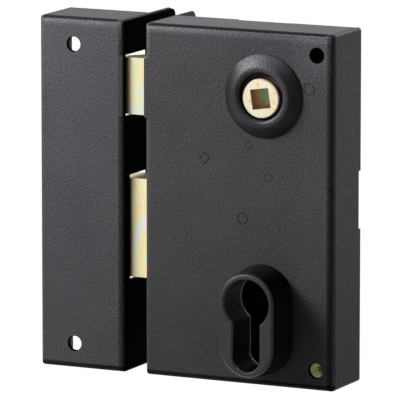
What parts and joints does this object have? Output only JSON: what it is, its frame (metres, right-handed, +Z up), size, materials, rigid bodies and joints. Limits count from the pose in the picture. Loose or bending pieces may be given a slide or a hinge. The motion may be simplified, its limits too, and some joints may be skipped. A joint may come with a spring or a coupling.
{
  "type": "lock",
  "caption": "Surface-mounted rim lock with sprung latch bolt, dead bolt, handle follower and profile cylinder hole, and its matching box keep",
  "frame": {"origin": "the follower's axis where it crosses the mounting plane, which is the back of the case and of the keep", "axes": "+X from the keep toward the far side of the lock, the way the bolts withdraw; +Y from the front face into the door; +Z up"},
  "size_m": [0.1169, 0.0558, 0.1284],
  "materials": {
    "powder_coat": "matt",
    "yellow_zinc": "satin",
    "bare_steel": "satin",
    "spring_steel": "satin",
    "black_plastic": "semi_gloss"
  },
  "bodies": {
    "case": {"case_shell": "powder_coat", "back_plate": "powder_coat", "follower_collar": "black_plastic", "cylinder_collar": "black_plastic", "latch_guide_post": "bare_steel", "latch_spring": "spring_steel", "spring_seat": "yellow_zinc", "bolt_guide_post": "bare_steel", "detent_spring": "spring_steel", "detent_posts": "bare_steel", "lever_pivot": "bare_steel", "plate_pillars": "bare_steel", "plate_screws": "yellow_zinc", "upper_screw_spacer": "powder_coat", "lower_screw_spacer": "yellow_zinc", "keep_shell": "powder_coat"},
    "follower": {"follower": "yellow_zinc"},
    "latch": {"latch_head": "yellow_zinc", "latch_tail": "yellow_zinc", "latch_rivets": "bare_steel", "latch_drive_pin": "bare_steel"},
    "dead_bolt": {"bolt_head": "yellow_zinc", "bolt_tail": "yellow_zinc", "bolt_rivets": "bare_steel"},
    "lever": {"key_lever": "yellow_zinc"}
  },
  "joints": [
    {"name": "follower_turn", "type": "hinge", "parent": "case", "child": "follower", "pos_m": [0, 0, 0], "axis": [0, -1, 0], "range_deg": [0, 40]},
    {"name": "latch_slide", "type": "slide", "parent": "case", "child": "latch", "axis": [1, 0, 0], "range_m": [0, 0.012], "stiffness_N_per_m": 330, "springref_m": -0.009, "deforming": ["latch_spring"]},
    {"name": "dead_bolt_slide", "type": "slide", "parent": "case", "child": "dead_bolt", "axis": [1, 0, 0], "range_m": [0, 0.02]},
    {"name": "lever_swing", "type": "hinge", "parent": "case", "child": "lever", "pos_m": [0.017, -0.0104, -0.086], "axis": [0, 1, 0], "range_deg": [0, 9.63]}
  ],
  "couplings": [
    {"joint": "follower_turn", "follows": "latch_slide", "rad_per_m": 58.124},
    {"joint": "lever_swing", "follows": "latch_slide", "rad_per_m": 13.983}
  ]
}
